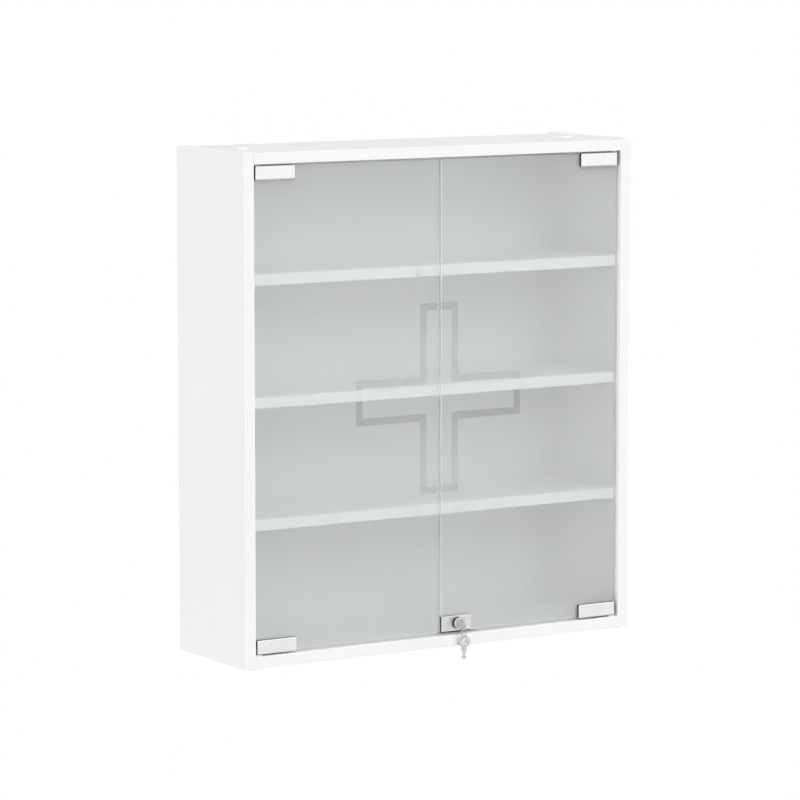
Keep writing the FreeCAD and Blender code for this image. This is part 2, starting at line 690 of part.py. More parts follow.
groove_y = ("back_front_y - groove_clearance", "back_rear_y")
GROOVE_REACH = "groove_depth + groove_clearance"
groove_z = (f"floor_z - ({GROOVE_REACH})", f"ceiling_z + {GROOVE_REACH}")
groove_x = (f"-inner_half - ({GROOVE_REACH})", f"inner_half + {GROOVE_REACH}")
groove = slab("back_groove", groove_x, groove_y, groove_z)
full_depth = ("front_y", "0")
for side, side_name in SIDE_NAMES.items():
    thickness = between(side, "inner_half", "half_width")
    box = slab(f"{side_name}_side_box", thickness, full_depth, ("base_z", "top_z"))
    soft = rounded(f"{side_name}_side_rounded", box, "edge_round", every_edge)
    node(f"{side_name}_side_panel", cut(f"{side_name}_side", soft, [groove] + side_drills[side]))
for panel in PANEL_MIDDLE:
    height = outward(panel, PANEL_INSIDE[panel], "0", "board_thickness")
    box = slab(f"{panel}_box", ("-inner_half", "inner_half"), full_depth, height)
    soft = rounded(f"{panel}_rounded", box, "edge_round", runs_along(vec(1, 0, 0)))
    node(f"{panel}_panel", cut(panel, soft, [groove] + panel_drills[panel]))

wall_drills = []
for side, side_name in SIDE_NAMES.items():
    x = to_side(side, "wall_hole_spacing / 2")
    through = ("back_front_y", "0")
    wall_drills.append(rod(f"wall_hole_{side_name}", "wall_hole_diameter / 2", x, through, "0"))
back_x = ("-inner_half - groove_depth", "inner_half + groove_depth")
back_z = ("floor_z - groove_depth", "ceiling_z + groove_depth")
back_sheet = slab("back_sheet", back_x, ("back_front_y", "back_rear_y"), back_z)
node("back_panel", cut("back", back_sheet, wall_drills))
rail_x = ("-inner_half", "inner_half")
rail_box = slab("rail_box", rail_x, ("back_rear_y", "0"), ("ceiling_z - rail_height", "ceiling_z"))
node("hanging_rail", cut("rail", rail_box, wall_drills + rail_drills))

for name in SHELVES:
    node(f"{name}_shelf", shelves[name])
node("shelf_pins", group("shelf_pin_set", shelf_pins))
node("dowels", group("dowel_set", dowels))
node("cam_nuts", group("cam_nut_set", cam_nuts))
node("cam_bolts", group("cam_bolt_set", cam_bolts))
node("cam_covers", group("cam_cover_set", cam_covers))
node("rail_screws", group("rail_screw_set", rail_screws))
node("screw_covers", group("screw_cover_set", screw_covers))
node("pivot_bushes", group("bush_set", bushes))
node("strike_plate", cut("strike", strike_sheet, strike_tools))
node("strike_screws", group("strike_screw_set", strike_screws))
node("door_bumpers", group("bumper_set", bumpers))


# Glass panes. The inner face is etched, apart from the line of the cross.

def cross_half(side):
    """Half of the cross's outline as one band, from the gap out and back again."""
    gap = to_side(side, "pane_inner + glass_arris")

    def edge_line(inset):
        arm = f"(cross_arm / 2 - {inset})"
        tip = f"(cross_span / 2 - {inset})"
        top = f"(cross_height / 2 - {inset})"
        near, far = to_side(side, arm), to_side(side, tip)
        upper = [(gap, top), (near, top), (near, arm), (far, arm)]
        lower = [(x, f"-{z}") for x, z in reversed(upper)]
        return [(x, f"cross_z + {z}") for x, z in upper + lower]

    return edge_line("0") + edge_line("cross_line")[::-1]


def make_pane(side):
    name = f"{SIDE_NAMES[side]}_pane"
    body = doc.addObject("PartDesign::Body", name)
    outline = sketch(body, name + "_outline", "pane_front_y")
    rectangle(outline, between(side, "pane_inner", "pane_outer"), ("pane_low_z", "pane_high_z"))
    if side > 0:
        circle(outline, "lock_x", "lock_z", "barrel_diameter / 2 + glass_hole_clearance")
    sheet = pad(body, name + "_sheet", outline, "glass_thickness - etch_depth", towards_wall=True)
    corners = soften(body, name + "_corners", sheet, "glass_corner", runs_along(vec(0, 1, 0)))
    front, back = in_plane("Y", "pane_front_y"), in_plane("Y", "etched_y")
    bevel(body, name + "_arris", corners, "glass_arris",
          lambda edge: not edge.isClosed() and (front(edge) or back(edge)))
    line = sketch(body, name + "_cross", "etched_y")
    polygon(line, cross_half(side))
    pad(body, name + "_line", line, "etch_depth", towards_wall=True)
    node(name, body)


# Hinges: a clamp body with its pivot, pads, a press plate, grub screws and a bright cap

def make_cap(name, side, panel):
    end = PANE_END[panel]
    body = doc.addObject("PartDesign::Body", name)
    outline = sketch(body, name + "_outline", "pane_front_y")
    height = outward(panel, end, "-clamp_reach", "clamp_lip")
    rectangle(outline, between(side, "clamp_inner", "clamp_outer"), height)
    block = pad(body, name + "_block", outline, "cap_depth")
    at_back = in_plane("Y", "pane_front_y")
    soften(body, name + "_round", block, "cap_round", lambda edge: not at_back(edge))
    room = sketch(body, name + "_room", "pane_front_y")
    rectangle(room, between(side, "clamp_inner + cap_wall", "clamp_outer - cap_wall"),
              outward(panel, end, "-clamp_reach + cap_wall", "clamp_lip + cap_wall"))
    pocket(body, name + "_hollow", room, "cap_depth - cap_wall")
    return body


def make_hinge(side, panel):
    place = f"{panel}_{SIDE_NAMES[side]}"
    end = PANE_END[panel]
    leg_x = between(side, "leg_inner", "leg_outer")
    leg_z = outward(panel, end, "-leg_reach", "clamp_lip")
    inside_z = outward(panel, end, "-leg_reach", "0")
    web_z = outward(panel, end, "web_clearance", "clamp_lip")
    pin_z = outward(panel, PANEL_INSIDE[panel], "-(pane_end_gap - web_clearance)", "pivot_depth")
    middle = f"{end} - {OUTWARD[panel]} * clamp_reach / 2"
    body = f"hinge_body_{place}"
    frame = fused(body + "_frame", [
        slab(body + "_front", leg_x, ("leg_front_y", "pane_front_y - hinge_pad"), leg_z),
        slab(body + "_web", leg_x, ("leg_front_y", "clamp_back_y"), web_z),
        slab(body + "_rear", leg_x, ("rear_leg_y", "clamp_back_y"), leg_z),
        rod(body + "_pin", "pivot_diameter / 2", to_side(side, "pivot_x"), "pivot_y", pin_z),
    ])
    grub_drills = []
    grubs = []
    depth = ("press_back_y", "clamp_back_y")
    socket_depth = ("clamp_back_y - grub_socket_depth", "clamp_back_y")
    for place_on_leg, x in zip(("first", "second"), around(to_side(side, "clamp_middle"), "grub_spacing")):
        name = f"hinge_grub_{place}_{place_on_leg}"
        grub_drills.append(rod(name + "_drill", "grub_diameter / 2 + drill_clearance", x, depth, middle))
        socket = hexagon(name + "_socket", "grub_socket / 2", x, socket_depth, middle)
        grubs.append(cut(name, rod(name + "_thread", "grub_diameter / 2", x, depth, middle), [socket]))
    node(body, cut(body, frame, grub_drills))
    node(f"hinge_cap_{place}", make_cap(f"hinge_cap_{place}", side, panel))
    pads = [slab(f"hinge_pad_{place}_front", leg_x, ("pane_front_y - hinge_pad", "pane_front_y"), inside_z),
            slab(f"hinge_pad_{place}_rear", leg_x, ("etched_y", "press_y"), inside_z)]
    node(f"hinge_pads_{place}", group(f"hinge_pad_set_{place}", pads))
    press_plate = slab(f"hinge_press_{place}", leg_x, ("press_y", "press_back_y"), inside_z)
    node(f"hinge_press_plate_{place}", press_plate)
    node(f"hinge_grub_screws_{place}", group(f"hinge_grub_set_{place}", grubs))


for side in SIDE_NAMES:
    make_pane(side)
    for panel in PANE_END:
        make_hinge(side, panel)


# Lock in the lower corner of the right pane: plates and gaskets either side of the glass, a barrel
# through it with a nut behind, and a plug that turns the cam down into the strike

LOCK_PLATE_Z = ("lock_plate_low", "lock_plate_high")
GASKET_Z = ("lock_plate_low - gasket_drop", "lock_plate_high - gasket_inset")
BARREL_HOLE = "barrel_diameter / 2 + barrel_clearance"


def make_lock_plate():
    body = doc.addObject("PartDesign::Body", "lock_plate")
    outline = sketch(body, "lock_plate_outline", "lock_plate_back_y")
    rectangle(outline, ("lock_plate_left", "lock_plate_right"), LOCK_PLATE_Z)
    circle(outline, "lock_x", "lock_z", BARREL_HOLE)
    sheet = pad(body, "lock_plate_sheet", outline, "lock_plate_thickness")
    front = in_plane("Y", "lock_plate_front_y")
    soften(body, "lock_plate_rim", sheet, "lock_plate_round",
           lambda edge: front(edge) and not edge.isClosed())
    lip = sketch(body, "lock_plate_lip_outline", "lock_plate_back_y")
    rectangle(lip, ("lock_plate_left", "pane_inner - lock_lip_clearance"), LOCK_PLATE_Z)
    pad(body, "lock_plate_lip", lip, "lock_gasket + glass_thickness", towards_wall=True)
    return body


def lock_layer(name, x, y, z):
    """A flat layer of the lock with the barrel's hole in it."""
    hole = rod(name + "_hole", BARREL_HOLE, "lock_x", y, "lock_z")
    return cut(name, slab(name + "_sheet", x, y, z), [hole])


def make_cam():
    body = doc.addObject("PartDesign::Body", "lock_cam")
    outline = sketch(body, "lock_cam_outline", "lock_cam_y")
    oblong(outline, "lock_x", "lock_x + lock_cam_reach - lock_cam_width / 2", "lock_z", "lock_cam_width / 2")
    square = "plug_square + 2 * drill_clearance"
    rectangle(outline, around("lock_x", square), around("lock_z", square))
    pad(body, "lock_cam_sheet", outline, "lock_cam_thickness", towards_wall=True)
    return body


behind_lip_x = ("pane_inner", "lock_plate_right")
node("lock_plate", make_lock_plate())
node("lock_gaskets", group("lock_gasket_set", [
    lock_layer("lock_front_gasket", behind_lip_x, ("lock_plate_back_y", "pane_front_y"), GASKET_Z),
    lock_layer("lock_rear_gasket", behind_lip_x, ("etched_y", "back_plate_y"), GASKET_Z),
]))
node("lock_back_plate", lock_layer("lock_rear_plate", behind_lip_x, ("back_plate_y", "nut_y"), LOCK_PLATE_Z))
head_span = ("face_y", "lock_plate_front_y")
sleeve_span = ("lock_plate_front_y", "barrel_end_y")
plug_span = ("face_y", "barrel_end_y")
disc = rod("barrel_disc", "head_diameter / 2", "lock_x", head_span, "lock_z")
head = rounded("barrel_head", disc, "head_round", in_plane("Y", "face_y"))
sleeve = rod("barrel_sleeve", "barrel_diameter / 2", "lock_x", sleeve_span, "lock_z")
plug_bore = rod("barrel_bore", "plug_diameter / 2 + plug_clearance", "lock_x", plug_span, "lock_z")
node("lock_barrel", cut("barrel", fused("barrel_outside", [head, sleeve]), [plug_bore]))
nut_span = ("nut_y", "nut_y + nut_thickness")
nut_hole = rod("nut_hole", BARREL_HOLE, "lock_x", nut_span, "lock_z")
node("lock_nut", cut("nut", hexagon("nut_block", "nut_width / 2", "lock_x", nut_span, "lock_z"), [nut_hole]))

plug_round = rod("plug_round", "plug_diameter / 2", "lock_x", plug_span, "lock_z")
tail_span = ("barrel_end_y", "lock_cam_back_y")
tail = slab("plug_tail", around("lock_x", "plug_square"), tail_span, around("lock_z", "plug_square"))
keyway_x = around("lock_x", "key_thickness + 2 * key_clearance")
keyway_y = ("face_y", "key_y + blade_tip + blade_tip_diameter / 2 + key_clearance")
keyway_z = around("lock_z", "blade_root + 2 * key_clearance")
keyway = slab("plug_keyway", keyway_x, keyway_y, keyway_z)
screw_span = ("lock_cam_back_y - cam_screw_length", "lock_cam_back_y")
screw_hole = "cam_screw_diameter / 2 + drill_clearance"
screw_drill = rod("cam_screw_drill", screw_hole, "lock_x", screw_span, "lock_z")
node("lock_plug", cut("plug", fused("plug_outside", [plug_round, tail]), [keyway, screw_drill]))
node("lock_cam", make_cam())
screw_head_span = ("lock_cam_back_y", "lock_cam_back_y + cam_screw_head_height")
node("cam_screw", fused("cam_screw_whole", [
    rod("cam_screw_shank", "cam_screw_diameter / 2", "lock_x", screw_span, "lock_z"),
    rod("cam_screw_cap", "cam_screw_head / 2", "lock_x", screw_head_span, "lock_z"),
]))


# Two like keys, drawn hanging from their ring hole, and the ring that joins them

def make_key(name):
    body = doc.addObject("PartDesign::Body", name)
    bow = sketch(body, name + "_bow_outline", "key_thickness / 2")
    oblong(bow, "-bow_spread", "bow_spread", "-bow_drop", "bow_radius")
    circle(bow, "0", "0", "bow_hole_diameter / 2")
    pad(body, name + "_bow", bow, "key_thickness")
    blade = sketch(body, name + "_blade_outline", "key_thickness / 2")
    shoulder = "-bow_drop - bow_hole_diameter / 2"
    half = [("blade_root / 2", shoulder), ("blade_width / 2", "-blade_step"),
            ("blade_neck / 2", "-blade_step"), ("blade_neck / 2", "-blade_tip")]
    other_half = [(f"-{across}", up) for across, up in half]
    polygon(blade, other_half + half[::-1])
    pad(body, name + "_blade", blade, "key_thickness")
    tip = sketch(body, name + "_tip_outline", "key_thickness / 2")
    circle(tip, "0", "-blade_tip", "blade_tip_diameter / 2")
    pad(body, name + "_tip", tip, "key_thickness")
    return node(name, body)


def put(piece, rotation, x, y, z):
    piece.Placement = FreeCAD.Placement(vec(), rotation)
    for axis, place in zip("xyz", (x, y, z)):
        piece.setExpression(f"Placement.Base.{axis}", expression(place))


turn = number("ring_turn")
blade_into_lock = FreeCAD.Rotation(vec(0, 0, 1), vec(-1, 0, 0), vec(0, -1, 0))
put(make_key("key"), blade_into_lock, "lock_x", "key_y", "lock_z")
ring = doc.addObject("Part::Torus", "ring")
ring.setExpression("Radius1", expression("ring_diameter / 2"))
ring.setExpression("Radius2", expression("ring_wire / 2"))
put(ring, FreeCAD.Rotation(vec(0, 0, 1), turn) * LIES_ALONG["y"], "lock_x", "key_y", "ring_z")
node("key_ring", ring)
put(make_key("spare_key"), FreeCAD.Rotation(vec(0, 0, 1), turn - 90), "lock_x", "key_y", "spare_z")

# Every piece is tested before any file is written

doc.recompute()
failed = [thing for thing in doc.Objects if {"Invalid", "Error"} & set(thing.State)]
faults = [f"{thing.Label}: {thing.State}" for thing in failed]
for piece in NODES:
    if piece.Shape.isNull() or not piece.Shape.isValid() or not piece.Shape.Solids:
        faults.append(f"{piece.Label}: no valid solid")
if faults:
    raise ValueError("; ".join(faults))
os.makedirs("parts", exist_ok=True)
for piece in NODES:
    piece.Shape.exportStep(f"parts/{piece.Label}.step")
    print(f"{piece.Label}: {len(piece.Shape.Solids)} solid, {piece.Shape.Volume:.0f} cubic millimetres")
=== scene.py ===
# %% [markdown]
# # A wall cabinet with satin glass doors
# This lesson dresses a finished cabinet in Blender. The solids come ready made, each one in its real
# place and size, in metres. What is left to do here is what the
# eye notices: the finishes, a few small pieces that deserve finer modelling, the light and the camera.

# %% Load the solids
import json
import math

import bpy
import mathutils
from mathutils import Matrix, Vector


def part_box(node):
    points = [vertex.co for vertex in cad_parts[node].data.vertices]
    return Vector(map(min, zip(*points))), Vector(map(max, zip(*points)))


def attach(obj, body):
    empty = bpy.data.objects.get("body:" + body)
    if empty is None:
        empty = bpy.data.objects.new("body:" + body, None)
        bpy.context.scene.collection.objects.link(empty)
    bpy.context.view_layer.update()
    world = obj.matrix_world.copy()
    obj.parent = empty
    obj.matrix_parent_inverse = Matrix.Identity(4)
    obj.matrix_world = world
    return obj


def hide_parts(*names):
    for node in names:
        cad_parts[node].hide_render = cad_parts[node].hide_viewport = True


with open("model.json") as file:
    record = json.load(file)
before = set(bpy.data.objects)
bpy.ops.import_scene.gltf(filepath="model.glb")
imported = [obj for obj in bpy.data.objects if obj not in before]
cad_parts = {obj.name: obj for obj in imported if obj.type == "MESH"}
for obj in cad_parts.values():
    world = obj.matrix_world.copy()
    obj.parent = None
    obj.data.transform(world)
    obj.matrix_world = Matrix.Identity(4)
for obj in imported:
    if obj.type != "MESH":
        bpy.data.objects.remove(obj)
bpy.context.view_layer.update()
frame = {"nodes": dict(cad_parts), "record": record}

MM = 0.001

# %% [markdown]
# ## The camera
# The cabinet is seen from its left, a little from above, through a long lens that keeps its edges almost
# parallel. A camera can be placed by eye, but here the corners of the box give it: place, turn, tilt and
# lens were chosen so that the corners land where they should. The tilt is kept in the camera itself and
# not in a shifted lens, so that a view from any other side stays centred as well.

# %% Place the camera
camera_tilt = 7.022
camera_turn = 31.985
camera_lens = bpy.data.cameras.new("long_lens")
camera_lens.sensor_width = 36
camera_lens.lens = 178.16
camera_lens.clip_end = 60
camera = bpy.data.objects.new("camera", camera_lens)
camera.location = (-2.8402, -4.6199, 0.3637)
camera.rotation_euler = (math.radians(90 - camera_tilt), 0, math.radians(-camera_turn))
bpy.context.scene.collection.objects.link(camera)
bpy.context.scene.camera = camera
bpy.context.scene.view_settings.view_transform = "Standard"
print("camera at", tuple(round(value, 2) for value in camera.location))

# %% [markdown]
# ## Building a finish from nodes
# Every finish below is a small network of nodes, and most of them share a few moves: take the place on
# the surface, make a noise from it, and turn that noise into a colour, a roughness or a relief. A helper
# for each move keeps the finishes short. They all read Object coordinates, which are metres on the piece
# itself, so a pattern has its real size and stays put when a door swings.

# %% Helpers that add nodes
def add_node(tree, kind, inputs=None, **settings):
    made = tree.nodes.new("ShaderNode" + kind)
    for name, value in settings.items():
        setattr(made, name, value)
    for name, value in (inputs or {}).items():
        if isinstance(value, bpy.types.NodeSocket):
            tree.links.new(value, made.inputs[name])
        else:
            made.inputs[name].default_value = value
    return made


def new_finish(name, **sockets):
    material = bpy.data.materials.new(name)
    material.use_nodes = True
    tree = material.node_tree
    tree.nodes.clear()
    inputs = {key.replace("_", " "): value for key, value in sockets.items()}
    shader = add_node(tree, "BsdfPrincipled", inputs)
    output = add_node(tree, "OutputMaterial")
    tree.links.new(shader.outputs["BSDF"], output.inputs["Surface"])
    return material, tree, shader


def give(tree, shader, **sockets):
    for name, value in sockets.items():
        tree.links.new(value, shader.inputs[name.replace("_", " ")])


finishes = {}
print("node helpers ready")

# %% [markdown]
# The next helpers are the moves themselves. A noise gives values around the middle of its range, so
# scaled stretches what lies between start and stop to the values that a finish needs. The last two read
# the place on a piece and tell whether a point is near a given depth or height.

# %% Helpers that make patterns
def speckle(tree, scale, stretch=(1, 1, 1), detail=2):
    place = add_node(tree, "TexCoord").outputs["Object"]
    stretched = add_node(tree, "Mapping", {"Vector": place, "Scale": stretch}).outputs["Vector"]
    return add_node(tree, "TexNoise", {"Vector": stretched, "Scale": scale, "Detail": detail}).outputs["Fac"]


def scaled(tree, value, low, high, start=0.3, stop=0.7):
    inputs = {"Value": value, "From Min": start, "From Max": stop, "To Min": low, "To Max": high}
    return add_node(tree, "MapRange", inputs).outputs["Result"]


def calculate(tree, operation, first, second=0.0):
    return add_node(tree, "Math", {0: first, 1: second}, operation=operation).outputs[0]


def blend_colours(tree, share, first, second):
    inputs = {0: share, 6: first if hasattr(first, "node") else (*first, 1)}
    inputs[7] = second if hasattr(second, "node") else (*second, 1)
    return add_node(tree, "Mix", inputs, data_type="RGBA").outputs[2]


def relief(tree, height, strength, depth):
    inputs = {"Height": height, "Strength": strength, "Distance": depth}
    return add_node(tree, "Bump", inputs).outputs["Normal"]


def place_on(tree):
    place = add_node(tree, "TexCoord").outputs["Object"]
    return add_node(tree, "SeparateXYZ", {"Vector": place}).outputs


def near(tree, value, centre, reach):
    away = calculate(tree, "ABSOLUTE", calculate(tree, "SUBTRACT", value, centre))
    return calculate(tree, "LESS_THAN", away, reach)


print("pattern helpers ready")

# %% [markdown]
# ## White faced board
# The sides, top, bottom, shelves and rail are particle board under a thin white film, with a strip of
# edging glued along the front. The film is never quite even: it has a fine pearl texture that softens
# reflections, and its white drifts a little over a hand's width. The glue line behind the edging shows as
# a hairline, drawn here at its real place behind the front edges of the panels and of the shelves.

# %% White faced board
edging = 0.8 * MM
half_seam = 0.12 * MM
panel_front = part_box("left_side_panel")[0].y
shelf_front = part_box("upper_shelf")[0].y
board, tree, shader = new_finish("white_faced_board", Specular_IOR_Level=0.25)
depth = place_on(tree)["Y"]
panel_seam = near(tree, depth, panel_front + edging, half_seam)
shelf_seam = near(tree, depth, shelf_front + edging, half_seam)
seam = calculate(tree, "MAXIMUM", panel_seam, shelf_seam)
cloud = scaled(tree, speckle(tree, scale=6, detail=3), low=0, high=1)
film = blend_colours(tree, cloud, (0.9, 0.901, 0.9), (0.916, 0.916, 0.913))
give(tree, shader, Base_Color=blend_colours(tree, seam, film, (0.7, 0.7, 0.69)))
smears = speckle(tree, scale=40, detail=4)
give(tree, shader, Roughness=scaled(tree, smears, low=0.4, high=0.5))
pearl = speckle(tree, scale=700)
give(tree, shader, Normal=relief(tree, pearl, strength=0.12, depth=0.1 * MM))
finishes["white_board"] = board
print("made", board.name, "with seams at", panel_front + edging, "and", shelf_front + edging)

# %% [markdown]
# ## Back board
# The back is 3 mm hardboard, painted white on the face that looks into the cabinet and left raw behind,
# where only the wall sees it. Both looks live in one finish, parted by depth: whatever lies behind the
# middle of the sheet shows brown pressed fibres, made from one coarse and one very fine noise.

# %% Back board
sheet_front, sheet_back = (corner.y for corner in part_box("back_panel"))
back, tree, shader = new_finish("painted_hardboard", Specular_IOR_Level=0.35)
raw_side = calculate(tree, "GREATER_THAN", place_on(tree)["Y"], (sheet_front + sheet_back) / 2)
fibres = speckle(tree, scale=420, stretch=(1, 1, 0.35), detail=5)
clumps = speckle(tree, scale=28, detail=4)
brown = blend_colours(tree, scaled(tree, fibres, low=0, high=1), (0.2, 0.125, 0.07), (0.34, 0.23, 0.14))
brown = blend_colours(tree, scaled(tree, clumps, low=0, high=0.5), brown, (0.27, 0.175, 0.1))
drift = scaled(tree, speckle(tree, scale=5), low=0, high=1)
paint = blend_colours(tree, drift, (0.745, 0.75, 0.747), (0.765, 0.768, 0.764))
give(tree, shader, Base_Color=blend_colours(tree, raw_side, paint, brown))
give(tree, shader, Roughness=scaled(tree, raw_side, low=0.45, high=0.85, start=0, stop=1))
give(tree, shader, Normal=relief(tree, fibres, strength=0.15, depth=0.2 * MM))
finishes["back_board"] = back
print("made", back.name)

# %% [markdown]
# ## Satin glass
# Each door is a 4 mm pane, polished in front and etched behind, with ground edges. The etching blurs
# whatever stands far behind it, while the shelf fronts, which nearly touch it, stay sharp. Along the
# outline of the cross the glass is left clear, and that line stands a little proud of the etched face.
# Several materials on one pane would do, but rules that read the place on the pane do it in one material,
# each giving 1 or 0.

# %% Parts of a pane
etched_part = 1 * MM
line_height = 0.2 * MM
ground_edge = 0.6 * MM
pane_low, pane_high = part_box("right_pane")
glass, tree, shader = new_finish("satin_glass", IOR=1.5)
place = place_on(tree)
behind = calculate(tree, "GREATER_THAN", place["Y"], pane_high.y - etched_part)
below_line = calculate(tree, "LESS_THAN", place["Y"], pane_high.y - line_height / 2)
etched = calculate(tree, "MULTIPLY", behind, below_line)
across = calculate(tree, "ABSOLUTE", place["X"])
inner_edge = calculate(tree, "LESS_THAN", across, pane_low.x + ground_edge)
outer_edge = calculate(tree, "GREATER_THAN", across, pane_high.x - ground_edge)
upper_edge = calculate(tree, "GREATER_THAN", place["Z"], pane_high.z - ground_edge)
lower_edge = calculate(tree, "LESS_THAN", place["Z"], pane_low.z + ground_edge)
upright_edges = calculate(tree, "MAXIMUM", inner_edge, outer_edge)
level_edges = calculate(tree, "MAXIMUM", upper_edge, lower_edge)
edges = calculate(tree, "MAXIMUM", upright_edges, level_edges)
print("pane from", tuple(pane_low), "to", tuple(pane_high))

# %% [markdown]
# The glass is clear with a faint green. The pits of the etched face throw part of the light straight
# back, so that face is a little milky as well as rough, and the ground edges are milky and pale. Milk is
# made by taking away transmission, and what is left behaves like a white surface.

# %% Tint, milk and satin
etched_milk = 0.29
edge_milk = 0.7
polish = 0.02
tint = blend_colours(tree, etched, (0.966, 0.967, 0.96), (0.926, 0.951, 0.936))
give(tree, shader, Base_Color=blend_colours(tree, edges, tint, (0.93, 0.96, 0.946)))
milky_face = calculate(tree, "MULTIPLY", etched, etched_milk)
milky_edges = calculate(tree, "MULTIPLY", edges, edge_milk)
milky = calculate(tree, "MAXIMUM", milky_face, milky_edges)
give(tree, shader, Transmission_Weight=calculate(tree, "SUBTRACT", 1.0, milky))
frost = speckle(tree, scale=1500, detail=1)
rough = calculate(tree, "MAXIMUM", etched, edges)
satin = calculate(tree, "MULTIPLY", rough, scaled(tree, frost, low=0.27, high=0.29))
give(tree, shader, Roughness=calculate(tree, "ADD", satin, polish))
etched_frost = calculate(tree, "MULTIPLY", frost, etched)
give(tree, shader, Normal=relief(tree, etched_frost, strength=0.01, depth=0.02 * MM))
print("glass is milky by", etched_milk, "on its face and", edge_milk, "on its edges")

# %% [markdown]
# A ray that looks for a lamp would be bent by the rough glass and miss it, and the inside would be dark
# and full of grain. Rays that only carry light therefore pass the pane unbent. The Fresnel node keeps
# back the share that real glass mirrors off, which is small head on and large for light that grazes the
# pane.

# %% Light through the glass
path = add_node(tree, "LightPath").outputs
carries_light = calculate(tree, "MAXIMUM", path["Is Shadow Ray"], path["Is Diffuse Ray"])
mirrored_off = add_node(tree, "Fresnel", {"IOR": 1.5}).outputs[0]
let_through = calculate(tree, "SUBTRACT", 1.0, mirrored_off)
unbent_share = calculate(tree, "MULTIPLY", carries_light, let_through)
unbent = add_node(tree, "BsdfTransparent", {"Color": (0.97, 0.984, 0.974, 1)})
mixed = add_node(tree, "MixShader", {0: unbent_share, 1: shader.outputs[0], 2: unbent.outputs[0]})
output = next(one for one in tree.nodes if one.type == "OUTPUT_MATERIAL")
tree.links.new(mixed.outputs[0], output.inputs["Surface"])
finishes["satin_glass"] = glass
print("made", glass.name)

# %% [markdown]
# ## Metals
# The metal pieces differ mostly in how bright they are and how they were worked: plated caps mirror the
# room, the lock plate was brushed along its length, cast zinc is grainy. One function takes those
# differences: two greys, two roughnesses, the size of the marks and how far they are stretched. A rule
# may also be given that says where a piece is painted black in place of metal, as a painted dark reflection.

# %% A function for metals
# Painted dark reflection: a black colour that stands in for the dark that plated edges would mirror
painted_dark_reflection = (0.014, 0.014, 0.015)
painted_dark_roughness = 0.45


def metal(name, dull, bright, smooth, rough, marks, stretch=(1, 1, 1), strength=0.1, painted_dark=None):
    material, tree, shader = new_finish(name, Metallic=1.0)
    worked = speckle(tree, marks, stretch, detail=3)
    wear = scaled(tree, speckle(tree, scale=90, detail=3), low=0, high=1)
    colour = blend_colours(tree, wear, dull, bright)
    roughness = scaled(tree, worked, smooth, rough)
    # painted dark reflection: black, dull and not metal where the rule says
    if painted_dark:
        painted_dark_mask = painted_dark(tree)
        colour = blend_colours(tree, painted_dark_mask, colour, painted_dark_reflection)
        dullness = calculate(tree, "MULTIPLY", painted_dark_mask, painted_dark_roughness)
        roughness = calculate(tree, "MAXIMUM", roughness, dullness)
        give(tree, shader, Metallic=calculate(tree, "SUBTRACT", 1.0, painted_dark_mask))
    give(tree, shader, Base_Color=colour, Roughness=roughness)
    give(tree, shader, Normal=relief(tree, worked, strength, depth=0.02 * MM))
    print("made", name)
    return material


print("metal function ready")

# %% [markdown]
# Three pieces have parts painted black as painted dark reflections: the sides of the hinge caps behind
# their bright fronts, where the black is also painted shade in the gaps beside them, the side of the lock's
# round head, and the lip of the lock plate beside the gap between the doors. A rule reads the place on the
# piece and paints the black there.

# %% Where metal gives way to painted dark reflection
cap_front_depth = 1 * MM
head_rim = 7.6 * MM
lip_width = 0.6 * MM
cap_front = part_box("hinge_cap_top_left")[0].y
plate_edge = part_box("lock_plate")[0].x
key_low, key_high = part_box("key")
lock_x = (key_low.x + key_high.x) / 2
lock_z = (key_low.z + key_high.z) / 2


def before_pane(tree, place):
    return calculate(tree, "LESS_THAN", place["Y"], pane_low.y)


# The cap sides are painted black: painted dark reflection on their roundings and painted shade in the gaps
# beside them.
def cap_sides(tree):
    return calculate(tree, "GREATER_THAN", place_on(tree)["Y"], cap_front + cap_front_depth)


# The side of the lock's round head is painted black: a painted dark reflection.
def head_side(tree):
    place = place_on(tree)
    flat = add_node(tree, "CombineXYZ", {"X": place["X"], "Z": place["Z"]}).outputs[0]
    ends = {0: flat, 1: (lock_x, 0, lock_z)}
    radius = add_node(tree, "VectorMath", ends, operation="DISTANCE").outputs["Value"]
    rim = calculate(tree, "GREATER_THAN", radius, head_rim)
    return calculate(tree, "MULTIPLY", rim, before_pane(tree, place))


# The plate's lip is painted black: a painted dark reflection on its chamfered edge.
def plate_lip(tree):
    place = place_on(tree)
    at_edge = calculate(tree, "LESS_THAN", place["X"], plate_edge + lip_width)
    return calculate(tree, "MULTIPLY", at_edge, before_pane(tree, place))


print("lock axis at", lock_x, lock_z)

# %% [markdown]
# With the function and the rules in place, each metal is one call. The pieces in plain view are the
# bright caps, the lock, its plate, the keys and their ring. The others work inside the boards and show
# only from close by or with a door open.

# %% Metals in plain view
finishes["bright_cap"] = metal(
    "bright_plating", dull=(0.92, 0.92, 0.925), bright=(0.955, 0.955, 0.955),
    smooth=0.035, rough=0.08, marks=300, strength=0.02, painted_dark=cap_sides)
finishes["lock_chrome"] = metal(
    "lock_chrome", dull=(0.84, 0.84, 0.845), bright=(0.9, 0.9, 0.9),
    smooth=0.03, rough=0.08, marks=500, strength=0.02, painted_dark=head_side)
finishes["lock_plate_steel"] = metal(
    "brushed_plate", dull=(0.8, 0.8, 0.795), bright=(0.86, 0.86, 0.855),
    smooth=0.22, rough=0.36, marks=900, stretch=(0.04, 1, 1), strength=0.12, painted_dark=plate_lip)
finishes["key_nickel"] = metal(
    "key_nickel", dull=(0.67, 0.665, 0.655), bright=(0.75, 0.745, 0.735), smooth=0.16, rough=0.28, marks=1300)
finishes["ring_steel"] = metal(
    "spring_steel", dull=(0.6, 0.6, 0.6), bright=(0.72, 0.72, 0.72), smooth=0.12, rough=0.22, marks=1600)

